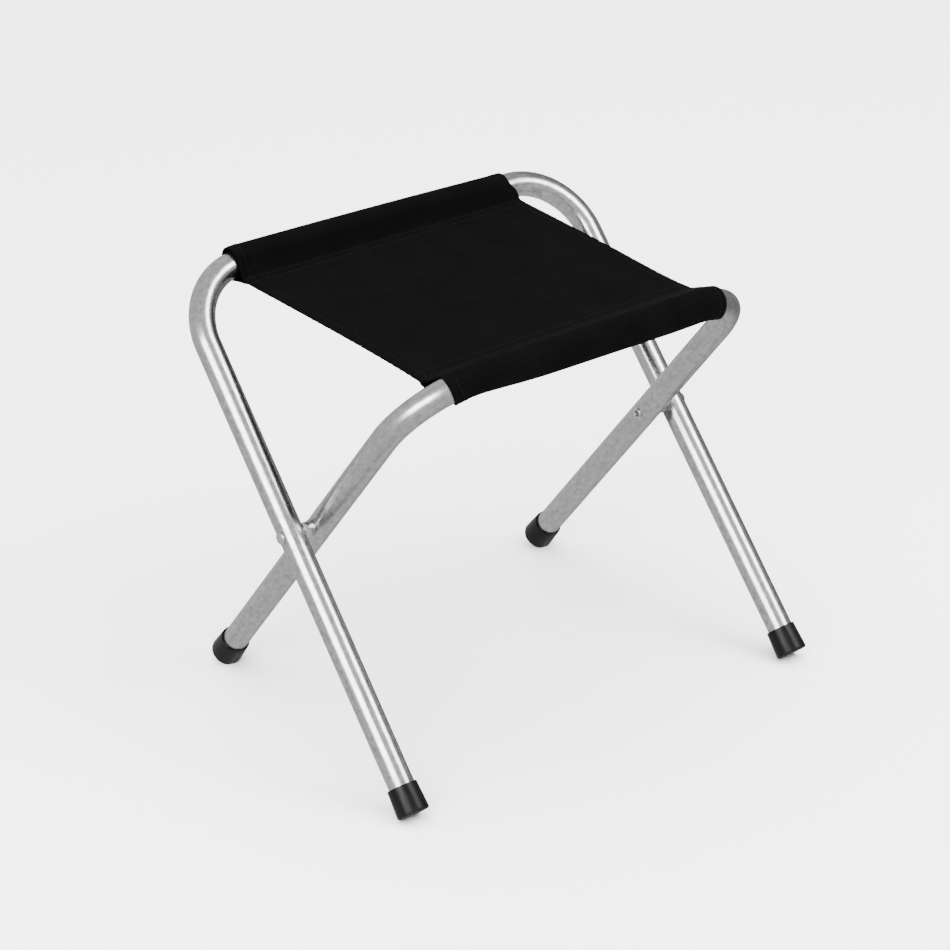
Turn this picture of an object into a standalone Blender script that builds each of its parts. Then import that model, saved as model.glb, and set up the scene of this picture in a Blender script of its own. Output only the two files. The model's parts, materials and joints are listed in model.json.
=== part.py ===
"""A folding camp stool: two nested U-shaped tube frames crossed on a pair of tubular rivets, with a
cloth seat sewn round both top bars and a moulded cap on every foot.

Metres, +Z up, the floor at Z = 0. X runs along the top bars and the hinge. The outer frame's bar is at
the back (+Y) with its feet at the front, and the inner frame's bar is at the front with its feet behind.
Every frame is drawn in its own axes: origin on the hinge, X across, Z up along the legs.
"""

from math import atan, cos, pi, radians, sin, tan

import bmesh
import bpy
from mathutils import Euler, Matrix, Vector

# ---- driving dimensions (metres and degrees) -------------------------------------------------------
GAP = 0.0003                    # clearance between pieces that touch

PIVOT_Y = 0.0028                # hinge line, from the middle of the stool's depth
PIVOT_Z = 0.16247               # hinge line above the floor

TUBE_RADIUS = 0.0095            # 19 mm round tube
TUBE_WALL = 0.0010
TUBE_SIDES = 24
BEND_STEPS = 10

OUTER_LEAN = 41.96              # legs from the vertical
OUTER_HALF_WIDTH = 0.1758       # hinge plane to leg centre, at the top bar
OUTER_SPLAY = 0.0042            # extra half width at the foot
OUTER_ABOVE = 0.1978            # hinge to top bar centre, along the leg
OUTER_BELOW = 0.2109            # hinge to the end of the foot cap, along the leg
OUTER_BEND = 0.0527             # bend radius on the centre line

INNER_LEAN = -37.98
INNER_HALF_WIDTH = 0.1521
INNER_SPLAY = 0.0
INNER_ABOVE = 0.1737
INNER_BELOW = 0.1990
INNER_BEND = 0.0564

DIMPLE_DEPTH = 0.0012           # pressed flats round the rivet holes, on the faces that meet
DIMPLE_OUTSIDE = 0.0006         # and on the faces under the rivet's head and tail
DIMPLE_FLAT = 0.0070            # half length of the flat
DIMPLE_END = 0.0150             # where the tube is round again

RIVET_RADIUS = 0.0030
RIVET_HOLE_RADIUS = 0.0033
RIVET_BORE_RADIUS = 0.0018      # the hollow end that is rolled over
RIVET_BORE_DEPTH = 0.0080
RIVET_HEAD_RADIUS = 0.0048
RIVET_HEAD_HEIGHT = 0.0021
RIVET_TAIL_RADIUS = 0.0046
RIVET_TAIL_HEIGHT = 0.0010
RIVET_SIDES = 20

SPACER_RADIUS = 0.0057
SPACER_SIDES = 24

CAP_TOP_RADIUS = 0.0110
CAP_FOOT_RADIUS = 0.0119
CAP_LENGTH = 0.0210
CAP_FLOOR = 0.0035              # thickness under the tube's end
CAP_ROUND = 0.0019              # rounding of the bottom edge
CAP_LIP = 0.0003                # rounding of the top edge
CAP_SIDES = 24

CLOTH_THICKNESS = 0.0010        # sleeves: cloth round a bar
SLEEVE_GAP = 0.0005             # a sleeve is a little loose on its bar
PANEL_THICKNESS = 0.0016        # panel: doubled cloth and its hems
SLEEVE_SIDES = 24
REAR_SLEEVE = (-0.1330, 0.1205)   # ends, measured along the bar's centre line from its middle
FRONT_SLEEVE = (-0.1232, 0.1178)
PANEL_LEFT = -0.1285
PANEL_RIGHT = 0.1215
PANEL_CLEAR = 0.0118            # bar centre to panel edge
PANEL_CLEAR_BENT = 0.0195       # the same, over the bent ends of the front bar
PANEL_DROP = 0.0035             # panel under the line between the bars, at each bar
PANEL_SAG = 0.0020              # further drop at the fold line
STRIP_WIDTH = 0.0060            # the strip of cloth on each side of the fold line
STRIP_UNDERCUT = 0.0010         # how far its edge at the fold line slants back underneath
FOLD_OFFSET = 0.0205            # fold strips' hinges, sideways from the plane between the two frames

# ---- small helpers ---------------------------------------------------------------------------------


def clear_scene():
    """Removes whatever the file opened with."""
    for found in list(bpy.data.objects):
        bpy.data.objects.remove(found, do_unlink=True)


def collection(name, hidden=False):
    made = bpy.data.collections.new(name)
    bpy.context.scene.collection.children.link(made)
    made.hide_render = hidden
    return made


def material(name, colour, roughness, metallic):
    made = bpy.data.materials.new(name)
    made.use_nodes = True
    shader = made.node_tree.nodes["Principled BSDF"]
    shader.inputs["Base Color"].default_value = (*colour, 1.0)
    shader.inputs["Roughness"].default_value = roughness
    shader.inputs["Metallic"].default_value = metallic
    made.diffuse_color = (*colour, 1.0)
    return made


def add(name, mesh, place, look, group):
    """A named object with its own material, placed by its matrix."""
    made = bpy.data.objects.new(name, mesh)
    mesh.name = name
    mesh.materials.clear()
    if look:
        mesh.materials.append(look)
    group.objects.link(made)
    made.location = place.to_translation()
    made.rotation_euler = place.to_euler()
    bpy.context.view_layer.update()
    return made


def mesh_from_bmesh(name, shape):
    mesh = bpy.data.meshes.new(name)
    shape.to_mesh(mesh)
    shape.free()
    return mesh


def apply_modifiers(made):
    """Keeps the evaluated mesh, so the next step works on plain geometry."""
    bpy.context.view_layer.update()
    graph = bpy.context.evaluated_depsgraph_get()
    mesh = bpy.data.meshes.new_from_object(made.evaluated_get(graph))
    made.modifiers.clear()
    made.data = mesh
    mesh.name = made.name


def solidify(made, thickness, offset):
    shell = made.modifiers.new("wall", "SOLIDIFY")
    shell.thickness = thickness
    shell.offset = offset
    shell.use_even_offset = True
    shell.use_rim = True


def cut(made, cutter):
    hole = made.modifiers.new("cut", "BOOLEAN")
    hole.operation = "DIFFERENCE"
    hole.solver = "EXACT"
    hole.object = cutter


def turned(name, profile, sides, place, look, group):
    """A solid of revolution about local Z from (radius, height) points: the outer side runs downwards."""
    shape = bmesh.new()
    points = [shape.verts.new((radius, 0.0, height)) for radius, height in profile]
    for first, second in zip(points, points[1:]):
        shape.edges.new((first, second))
    made = add(name, mesh_from_bmesh(name, shape), place, look, group)
    spin = made.modifiers.new("turn", "SCREW")
    spin.angle = 2 * pi
    spin.steps = sides
    spin.render_steps = sides
    spin.use_merge_vertices = True
    spin.merge_threshold = 0.00001
    spin.use_normal_calculate = True
    apply_modifiers(made)
    face_outwards(made.data)
    return made


def face_outwards(mesh, merge=0.0):
    """Turns every face of a closed body outwards, after closing seams narrower than merge."""
    shape = bmesh.new()
    shape.from_mesh(mesh)
    if merge:
        bmesh.ops.remove_doubles(shape, verts=shape.verts, dist=merge)
    bmesh.ops.recalc_face_normals(shape, faces=shape.faces)
    shape.to_mesh(mesh)
    shape.free()


def swept(name, path, radius, sides, place, look, group):
    """An open round tube along a polyline, from a bevelled curve."""
    curve = bpy.data.curves.new(name, "CURVE")
    curve.dimensions = "3D"
    curve.bevel_depth = radius
    curve.bevel_resolution = sides // 4 - 1
    curve.use_fill_caps = False
    line = curve.splines.new("POLY")
    line.points.add(len(path) - 1)
    for point, at in zip(line.points, path):
        point.co = (*at, 1.0)
    holder = bpy.data.objects.new(name + "_curve", curve)
    group.objects.link(holder)
    bpy.context.view_layer.update()
    graph = bpy.context.evaluated_depsgraph_get()
    mesh = bpy.data.meshes.new_from_object(holder.evaluated_get(graph))
    bpy.data.objects.remove(holder, do_unlink=True)
    bpy.data.curves.remove(curve)
    face_outwards(mesh, merge=0.00002)
    return add(name, mesh, place, look, group)


# ---- frame geometry --------------------------------------------------------------------------------


class Frame:
    """One U-shaped frame: where its centre line runs, in its own axes and in the world."""

    def __init__(self, lean, half_width, splay, above, below, bend):
        self.half_width = half_width
        self.above = above
        self.below = below
        self.bend = bend
        self.slope = splay / (above + below)
        tilt = Euler((-radians(lean), 0.0, 0.0)).to_matrix().to_4x4()
        self.place = Matrix.Translation((0.0, PIVOT_Y, PIVOT_Z)) @ tilt
        self.turn = pi / 2 - atan(self.slope)

    def leg_x(self, height):
        """Half width between the legs' centre lines at a height along the leg."""
        return self.half_width + self.slope * (self.above - height)

    def along(self, arc):
        """A point on the centre line, by its distance from the middle of the bar (negative on the left)."""
        side = -1.0 if arc < 0 else 1.0
        straight = self.half_width - self.bend * tan(self.turn / 2)
        angle = min(max(abs(arc) - straight, 0.0) / self.bend, self.turn)
        x = min(abs(arc), straight) + self.bend * sin(angle)
        z = self.above - self.bend * (1.0 - cos(angle))
        return Vector((side * x, 0.0, z))

    def arc_stops(self, left, right):
        """Distances along the centre line at which a swept piece needs a ring, between two ends."""
        straight = self.half_width - self.bend * tan(self.turn / 2)
        steps = [straight + self.bend * self.turn * i / BEND_STEPS for i in range(BEND_STEPS + 1)]
        stops = sorted([-s for s in steps] + steps)
        inside = [s for s in stops if left + 0.001 < s < right - 0.001]
        return [left, *inside, right]

    def path(self, foot_height):
        """The whole centre line, foot to foot, with extra rings round the hinge."""
        half = self.half_width
        straight = half - self.bend * tan(self.turn / 2)
        end = straight + self.bend * self.turn
        half_rings = (DIMPLE_END, 0.0110, DIMPLE_FLAT, 0.0036)
        rings = (*half_rings, 0.0, *(-z for z in reversed(half_rings)), foot_height)
        right = [Vector((self.leg_x(z), 0.0, z)) for z in rings]
        left = [Vector((-p.x, 0.0, p.z)) for p in right]
        top = [self.along(s) for s in self.arc_stops(-end, end)]
        return [*reversed(left), *top, *right]


OUTER = Frame(OUTER_LEAN, OUTER_HALF_WIDTH, OUTER_SPLAY, OUTER_ABOVE, OUTER_BELOW, OUTER_BEND)
INNER = Frame(INNER_LEAN, INNER_HALF_WIDTH, INNER_SPLAY, INNER_ABOVE, INNER_BELOW, INNER_BEND)


def bump(distance):
    """1 over the pressed flat, falling smoothly to 0 where the tube is round again."""
    t = min(max((abs(distance) - DIMPLE_FLAT) / (DIMPLE_END - DIMPLE_FLAT), 0.0), 1.0)
    return 1.0 - t * t * (3.0 - 2.0 * t)


def press_flats(mesh, frame, facing_out, facing_in):
    """Presses the tube flat round the rivet holes, on its outward and inward sides."""
    for vertex in mesh.vertices:
        height = vertex.co.z
        if abs(height) >= DIMPLE_END:
            continue
        side = -1.0 if vertex.co.x < 0 else 1.0
        centre = frame.leg_x(height)
        across = abs(vertex.co.x) - centre
        most = TUBE_RADIUS - facing_out * bump(height)
        least = -TUBE_RADIUS + facing_in * bump(height)
        vertex.co.x = side * (centre + min(max(across, least), most))


def frame_tube(name, frame, facing_out, facing_in, look, group, cutters):
    """A bent tube with open ends, pressed flats and one hole through each leg at the hinge."""
    foot_height = -frame.below + CAP_FLOOR + GAP
    made = swept(name, frame.path(foot_height), TUBE_RADIUS, TUBE_SIDES, frame.place, look, group)
    press_flats(made.data, frame, facing_out, facing_in)
    solidify(made, TUBE_WALL, -1.0)
    apply_modifiers(made)
    shape = bmesh.new()
    bmesh.ops.create_cone(
        shape,
        cap_ends=True,
        segments=RIVET_SIDES,
        radius1=RIVET_HOLE_RADIUS,
        radius2=RIVET_HOLE_RADIUS,
        depth=2.0 * (frame.leg_x(0.0) + 0.03),
        matrix=Matrix.Rotation(pi / 2, 4, "Y"),
    )
    drill = add(name + "_drill", mesh_from_bmesh(name + "_drill", shape), frame.place, None, cutters)
    drill.display_type = "WIRE"
    drill.hide_render = True
    cut(made, drill)
    apply_modifiers(made)
    return made


def foot_cap(name, frame, side, look, group, floor):
    """A closed-end cap on one leg, with a small worn flat where its edge meets the floor."""
    socket = TUBE_RADIUS + GAP
    profile = [(0.0, CAP_FLOOR), (socket, CAP_FLOOR), (socket, CAP_LENGTH)]
    profile.append((CAP_TOP_RADIUS - CAP_LIP, CAP_LENGTH))
    profile.append((CAP_TOP_RADIUS, CAP_LENGTH - CAP_LIP))
    for step in range(5):
        angle = pi / 2 * step / 4
        radius = CAP_FOOT_RADIUS - CAP_ROUND * (1.0 - cos(angle))
        profile.append((radius, CAP_ROUND * (1.0 - sin(angle))))
    profile.append((0.0, 0.0))
    leg = Vector((-side * frame.slope, 0.0, 1.0))
    tilt = Vector((0.0, 0.0, 1.0)).rotation_difference(leg).to_matrix().to_4x4()
    end = Vector((side * frame.leg_x(-frame.below), 0.0, -frame.below))
    made = turned(name, profile, CAP_SIDES, frame.place @ Matrix.Translation(end) @ tilt, look, group)
    cut(made, floor)
    apply_modifiers(made)
    return made


def rivet(name, side, look, group):
    """A tubular rivet through both legs: domed head outside, rolled hollow tail inside."""
    outside = OUTER.leg_x(0.0) + TUBE_RADIUS - DIMPLE_OUTSIDE + GAP
    inside = INNER.leg_x(0.0) - TUBE_RADIUS + DIMPLE_OUTSIDE - GAP
    length = outside - inside
    profile = [(0.0, length + RIVET_HEAD_HEIGHT)]
    for step in (1, 2, 3):
        angle = pi / 2 * step / 4
        profile.append((RIVET_HEAD_RADIUS * sin(angle), length + RIVET_HEAD_HEIGHT * cos(angle)))
    profile.append((RIVET_HEAD_RADIUS, length + 0.0004))
    profile.append((RIVET_HEAD_RADIUS, length))
    profile.append((RIVET_RADIUS, length))
    profile.append((RIVET_RADIUS, 0.0))
    profile.append((RIVET_TAIL_RADIUS, 0.0))
    profile.append((RIVET_TAIL_RADIUS, -RIVET_TAIL_HEIGHT * 0.5))
    profile.append((RIVET_TAIL_RADIUS * 0.85, -RIVET_TAIL_HEIGHT * 0.95))
    profile.append((RIVET_TAIL_RADIUS * 0.68, -RIVET_TAIL_HEIGHT))
    profile.append((RIVET_BORE_RADIUS, -RIVET_TAIL_HEIGHT * 0.5))
    profile.append((RIVET_BORE_RADIUS, RIVET_BORE_DEPTH))
    profile.append((0.0, RIVET_BORE_DEPTH + 0.0008))
    place = Matrix.Translation((side * inside, PIVOT_Y, PIVOT_Z)) @ Matrix.Rotation(side * pi / 2, 4, "Y")
    return turned(name, profile, RIVET_SIDES, place, look, group)


def spacer(name, side, look, group):
    """The ring on the rivet that holds the two frames apart."""
    low = INNER.leg_x(0.0) + TUBE_RADIUS - DIMPLE_DEPTH + GAP
    high = OUTER.leg_x(0.0) - TUBE_RADIUS + DIMPLE_DEPTH - GAP
    shape = bmesh.new()
    rings = []
    for radius, at in (
        (RIVET_HOLE_RADIUS, 0.0),
        (RIVET_HOLE_RADIUS, high - low),
        (SPACER_RADIUS, high - low),
        (SPACER_RADIUS, 0.0),
    ):
        ring = []
        for step in range(SPACER_SIDES):
            angle = 2 * pi * step / SPACER_SIDES
            ring.append(shape.verts.new((radius * cos(angle), radius * sin(angle), at)))
        rings.append(ring)
    for index, ring in enumerate(rings):
        following = rings[(index + 1) % 4]
        for step in range(SPACER_SIDES):
            after = (step + 1) % SPACER_SIDES
            shape.faces.new((ring[step], ring[after], following[after], following[step]))
    bmesh.ops.recalc_face_normals(shape, faces=shape.faces)
    place = Matrix.Translation((side * low, PIVOT_Y, PIVOT_Z)) @ Matrix.Rotation(side * pi / 2, 4, "Y")
    return add(name, mesh_from_bmesh(name, shape), place, look, group)


def sleeve(name, frame, ends, look, group):
    """The cloth round a top bar, following the start of each bend."""
    radius = TUBE_RADIUS + SLEEVE_GAP + CLOTH_THICKNESS
    path = [frame.along(s) for s in frame.arc_stops(*ends)]
    made = swept(name, path, radius, SLEEVE_SIDES, frame.place, look, group)
    solidify(made, CLOTH_THICKNESS, -1.0)
    apply_modifiers(made)
    return made


def fold_line():
    """Where the seat creases: on the plane half way between the two frames, a little under their bars."""
    rear = OUTER.place @ Vector((0.0, 0.0, OUTER.above))
    front = INNER.place @ Vector((0.0, 0.0, INNER.above))
    between = radians(OUTER_LEAN + INNER_LEAN) / 2
    slope = (rear.z - front.z) / (rear.y - front.y)
    # the straight line between the bars meets the plane that leans by `between` through the hinge
    height = (front.z - PIVOT_Z + slope * (PIVOT_Y - front.y)) / (1.0 - slope * tan(between))
    height -= PANEL_DROP + PANEL_SAG
    return Vector((0.0, PIVOT_Y + height * tan(between), PIVOT_Z + height))


def fold_hinge(side):
    """The point a fold strip turns about: it carries the crease along the plane between the frames."""
    between = radians(OUTER_LEAN + INNER_LEAN) / 2
    crease = fold_line()
    hinge = Vector((0.0, PIVOT_Y, PIVOT_Z))
    across = Vector((0.0, cos(between), -sin(between)))
    return (hinge + crease) / 2 - side * FOLD_OFFSET * across


def cloth_slab(name, outline, bar, origin, look, group):
    """A thin flat slab over an outline of (x, y) points, sloping from a bar to the fold line."""
    crease = fold_line()
    level = bar.z - PANEL_DROP
    fall = (crease.z - level) / (crease.y - bar.y)
    shape = bmesh.new()
    corners = [shape.verts.new(Vector((x, y, level + fall * (y - bar.y))) - origin) for x, y in outline]
    shape.faces.new(corners)
    made = add(name, mesh_from_bmesh(name, shape), Matrix.Translation(origin), look, group)
    solidify(made, PANEL_THICKNESS, 0.0)
    apply_modifiers(made)
    face_outwards(made.data)
    return made


def panel(name, frame, side, clear_bent, look, group):
    """The seat panel from one bar's sleeve to the fold strip, with its corners clear of a bent bar."""
    bar = frame.place @ Vector((0.0, 0.0, frame.above))
    bend_start = frame.half_width - frame.bend * tan(frame.turn / 2)
    edge = bar.y - side * PANEL_CLEAR
    bent = bar.y - side * clear_bent
    inner_y = fold_line().y + side * (STRIP_WIDTH + GAP)
    outline = [(PANEL_LEFT, inner_y), (PANEL_LEFT, bent)]
    if clear_bent > PANEL_CLEAR:
        outline += [(-bend_start, edge), (bend_start, edge)]
    outline += [(PANEL_RIGHT, bent), (PANEL_RIGHT, inner_y)]
    return cloth_slab(name, outline, bar, Vector((0.0, PIVOT_Y, PIVOT_Z)), look, group)


def fold_strip(name, frame, side, look, group):
    """The strip of seat cloth beside the fold line. Its origin is on the line it turns about."""
    bar = frame.place @ Vector((0.0, 0.0, frame.above))
    near = fold_line().y + side * GAP / 2
    far = fold_line().y + side * STRIP_WIDTH
    outline = [(PANEL_LEFT, near), (PANEL_LEFT, far), (PANEL_RIGHT, far), (PANEL_RIGHT, near)]
    made = cloth_slab(name, outline, bar, fold_hinge(side), look, group)
    # the strips turn downwards as they drop, so the lower edge starts further from the fold line
    centre = made.matrix_world.inverted() @ Vector((0.0, near, fold_line().z))
    for vertex in made.data.vertices:
        at_edge = abs(vertex.co.y - centre.y) < PANEL_THICKNESS / 2
        if at_edge and vertex.co.z < centre.z:
            vertex.co.y += side * STRIP_UNDERCUT
    return made


def main():
    clear_scene()
    group = collection("camp_stool")
    cutters = collection("cutters", hidden=True)

    shape = bmesh.new()
    bmesh.ops.create_cube(shape, size=1.0, matrix=Matrix.Translation((0.0, 0.0, -0.5)))
    floor = add("floor_cut", mesh_from_bmesh("floor_cut", shape), Matrix(), None, cutters)
    floor.display_type = "WIRE"
    floor.hide_render = True

    bright = (0.80, 0.81, 0.83)
    black = (0.012, 0.012, 0.013)
    charcoal = (0.035, 0.035, 0.037)

    frame_tube(
        "outer_frame_tube", OUTER, DIMPLE_OUTSIDE, DIMPLE_DEPTH,
        material("outer_frame_tube", bright, 0.22, 1.0), group, cutters,
    )
    frame_tube(
        "inner_frame_tube", INNER, DIMPLE_DEPTH, DIMPLE_OUTSIDE,
        material("inner_frame_tube", bright, 0.28, 1.0), group, cutters,
    )
    for word, side in (("left", -1.0), ("right", 1.0)):
        name = "pivot_rivet_" + word
        rivet(name, side, material(name, (0.72, 0.73, 0.75), 0.25, 1.0), group)
        name = "pivot_spacer_" + word
        spacer(name, side, material(name, (0.78, 0.79, 0.80), 0.30, 1.0), group)
        name = "foot_cap_front_" + word
        foot_cap(name, OUTER, side, material(name, charcoal, 0.42, 0.0), group, floor)
        name = "foot_cap_rear_" + word
        foot_cap(name, INNER, side, material(name, charcoal, 0.42, 0.0), group, floor)
    sleeve("seat_sleeve_rear", OUTER, REAR_SLEEVE, material("seat_sleeve_rear", black, 0.85, 0.0), group)
    sleeve("seat_sleeve_front", INNER, FRONT_SLEEVE, material("seat_sleeve_front", black, 0.85, 0.0), group)
    name = "seat_panel_rear"
    panel(name, OUTER, 1.0, PANEL_CLEAR, material(name, black, 0.85, 0.0), group)
    name = "seat_panel_front"
    panel(name, INNER, -1.0, PANEL_CLEAR_BENT, material(name, black, 0.85, 0.0), group)
    name = "seat_fold_rear"
    fold_strip(name, OUTER, 1.0, material(name, black, 0.85, 0.0), group)
    name = "seat_fold_front"
    fold_strip(name, INNER, -1.0, material(name, black, 0.85, 0.0), group)


main()
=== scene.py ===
"""Looks for the folding camp stool: drawn tube frames, rivets, moulded foot caps and a sewn cloth seat.

Metres, in the frame's own axes: +Z up, X along the top bars and the hinge, the outer frame's bar at +Y.
The seat is one cloth made as two halves that meet at the fold line. For each half a weight is worked out for
every vertex, its share of the turn between its frame and its fold strip; these weights are not put on the
cloth here.
"""

import json
from math import atan, cos, pi, radians, sin, sqrt, tan

import bmesh
import bpy
import numpy as np
from mathutils import Matrix, Quaternion, Vector


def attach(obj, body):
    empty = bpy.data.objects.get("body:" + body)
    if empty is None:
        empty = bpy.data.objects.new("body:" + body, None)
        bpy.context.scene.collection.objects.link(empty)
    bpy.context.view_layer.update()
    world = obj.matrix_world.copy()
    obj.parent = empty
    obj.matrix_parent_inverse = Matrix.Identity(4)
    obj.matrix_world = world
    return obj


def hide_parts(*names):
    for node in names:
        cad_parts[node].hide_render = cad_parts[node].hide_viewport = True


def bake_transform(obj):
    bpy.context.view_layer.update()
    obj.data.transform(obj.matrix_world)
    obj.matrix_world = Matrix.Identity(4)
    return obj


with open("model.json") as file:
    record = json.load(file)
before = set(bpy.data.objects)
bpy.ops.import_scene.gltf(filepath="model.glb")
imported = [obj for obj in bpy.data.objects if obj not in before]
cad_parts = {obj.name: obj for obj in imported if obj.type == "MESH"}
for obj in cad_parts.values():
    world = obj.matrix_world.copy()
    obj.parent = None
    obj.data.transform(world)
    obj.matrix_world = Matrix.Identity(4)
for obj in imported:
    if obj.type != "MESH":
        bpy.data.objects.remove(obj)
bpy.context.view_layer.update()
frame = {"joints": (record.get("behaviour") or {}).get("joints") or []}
JOINTS = {joint["name"]: joint for joint in frame["joints"]}
PIVOT = np.array(JOINTS["fold"]["pos_m"], float)
FOLD_ANGLE = radians(JOINTS["fold"]["range_deg"][1])

# ---- sizes, the same as the frame's (metres and degrees) ----
TUBE_RADIUS = 0.0095
TUBE_WALL = 0.0010
OUTER_SIZES = dict(lean=41.96, half_width=0.1758, splay=0.0042, above=0.1978, below=0.2109, bend=0.0527)
INNER_SIZES = dict(lean=-37.98, half_width=0.1521, splay=0.0, above=0.1737, below=0.1990, bend=0.0564)
GAP = 0.0003
DIMPLE_DEPTH = 0.0012
DIMPLE_OUTSIDE = 0.0006
DIMPLE_FLAT = 0.0070
DIMPLE_END = 0.0150
RIVET_RADIUS = 0.0030
RIVET_HOLE_RADIUS = 0.0033
SPACER_RADIUS = 0.0057
CAP_FLOOR = 0.0035
CAP_LENGTH = 0.0210
PANEL_LEFT = -0.1285
PANEL_RIGHT = 0.1215
PANEL_DROP = 0.0035
PANEL_SAG = 0.0020

# ---- sizes of the finer detail ----
TUBE_SIDES = 84
DIMPLE_SOFT = 0.00022           # rounding of the pressed flats' shoulders
CLOTH = 0.0009                  # one layer of cloth
SLEEVE_RADIUS = 0.0105          # middle of the cloth round a bar
REAR_SEAM = 0.0155              # bar centre to the seam that closes the sleeve
FRONT_SEAM = 0.0265
REAR_SEAM_DROP = 0.0060         # seam under the line between the bars
FRONT_SEAM_DROP = 0.0040
REAR_TOP = (-0.1330, 0.1172)    # ends of the sleeves over the bars
REAR_LOW = (-0.1325, 0.1225)    # and at their seams
FRONT_TOP = (-0.1272, 0.1186)
FRONT_LOW = (-0.1175, 0.1176)
FRONT_AT_SEAM = (-0.1262, 0.1185)
REAR_LOOSE = 0.0026             # how far the cloth stands off over the rear bar
FRONT_LOOSE = 0.0028            # and hangs under the front bar
FLAP = 0.0105                   # seam allowance under the panel
FLAP_TRIM = 0.0032              # how far its corners are cut back
HEM = 0.0088                    # folded side hem
HEM_STITCH = 0.0064
STITCH = 0.0028
STITCH_PITCH = 0.0036
THREAD_RADIUS = 0.00028
SEAM_ROWS = (0.0015, 0.0085)    # rows of stitches, from the seam
STITCH_OVER = CLOTH / 2 + 0.0001
STITCH_UNDER = CLOTH / 2 + 0.0007
STITCH_CLEAR = 0.0046           # no stitch nearer to the fold line than this
LAYER = CLOTH + 0.00008         # from the middle of one layer to the next
MAIN_STEP = 0.0002              # spacing of the cloth's sections, upper and under side
UNDER_STEP = 0.0005
ROW_SPACING = 0.0012            # rows along the panel
INNER_COLUMNS = 40
HEM_SOFT = 0.0003
GROOVE = 0.0006                 # half width of the dent along a row of stitches
HEM_LIFT = (0.00026, 0.00012)   # how far the hem stands up, round the sleeve and on the panel
HEM_DEPTH = (0.00022, 0.00078)  # and under
RIVET_HEAD = (0.0048, 0.0018)   # radius and rise of the dome
RIVET_BRIM = 0.0003
RIVET_BORE = 0.0021
TAIL_ROLL = (0.0034, 0.0012, 0.0009)    # radius of the roll's centre, and its half width and half height
EDGE_COLUMNS = (                # distances from a side edge, fine over the hem
    0.0, 0.00025, 0.0007, 0.0016, 0.0030, 0.0045, 0.0057, 0.0064, 0.0071, 0.0080,
    0.0086, 0.0092, 0.0100, 0.0120, 0.0150, 0.0190, 0.0240,
)

# ---- meshes ----


def add_object(name, data):
    made = bpy.data.objects.new(name, data)
    bpy.context.scene.collection.objects.link(made)
    return made


def edit_mesh(mesh, change):
    shape = bmesh.new()
    shape.from_mesh(mesh)
    change(shape)
    shape.to_mesh(mesh)
    shape.free()


def add_mesh(name, points, faces, sharp=35.0):
    """A smooth-shaded object with its edges sharper than the given angle kept crisp."""
    mesh = bpy.data.meshes.new(name)
    mesh.from_pydata([tuple(p) for p in points], [], faces)
    edit_mesh(mesh, face_outwards)
    crisp(mesh, sharp)
    return add_object(name, mesh)


def face_outwards(shape):
    bmesh.ops.recalc_face_normals(shape, faces=shape.faces)


def crisp(mesh, sharp):
    """Smooth faces, with edges that turn by more than `sharp` degrees marked sharp."""
    limit = radians(sharp)

    def mark(shape):
        for face in shape.faces:
            face.smooth = True
        for edge in shape.edges:
            edge.smooth = len(edge.link_faces) == 2 and edge.calc_face_angle() < limit

    edit_mesh(mesh, mark)


def ring_faces(first, second, sides):
    """Quads between two closed rings of points that start at the given indices."""
    after = [*range(1, sides), 0]
    return [(first + k, first + after[k], second + after[k], second + k) for k in range(sides)]


def circle(radius, height, sides):
    turns = [2 * pi * step / sides for step in range(sides)]
    return [(radius * cos(turn), radius * sin(turn), height) for turn in turns]


def vector_attribute(mesh, name, values):
    made = mesh.attributes.new(name, "FLOAT_VECTOR", "POINT")
    made.data.foreach_set("vector", np.asarray(values, np.float32).ravel())


def lathe(name, profile, sides, place):
    """A solid turned about local Z from (radius, height) points that start and end on the axis or join up."""
    points, faces, rings = [], [], []
    for radius, height in profile:
        is_ring = radius > 1e-7
        rings.append((len(points), is_ring))
        points += circle(radius, height, sides) if is_ring else [(0.0, 0.0, height)]
    for (one, one_ring), (two, two_ring) in zip(rings, rings[1:]):
        for a, b, c, d in ring_faces(one, two, sides):
            if one_ring and two_ring:
                faces.append((a, b, c, d))
            elif one_ring:
                faces.append((a, b, two))
            elif two_ring:
                faces.append((one, d, c))
    made = add_mesh(name, [place @ Vector(p) for p in points], faces)
    vector_attribute(made.data, "grain", points)
    return made


def rounded(profile, corner, radius, steps=4):
    """The profile with one of its corners replaced by a small arc."""
    before, at, after = (np.array(profile[i]) for i in (corner - 1, corner, corner + 1))
    into = (before - at) / np.linalg.norm(before - at)
    out = (after - at) / np.linalg.norm(after - at)
    arc = []
    for step in range(steps + 1):
        t = step / steps
        arc.append(tuple(at + into * radius * (1 - t) ** 2 + out * radius * t ** 2))
    return profile[:corner] + arc + profile[corner + 1:]


# ---- the two tube frames ----


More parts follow.
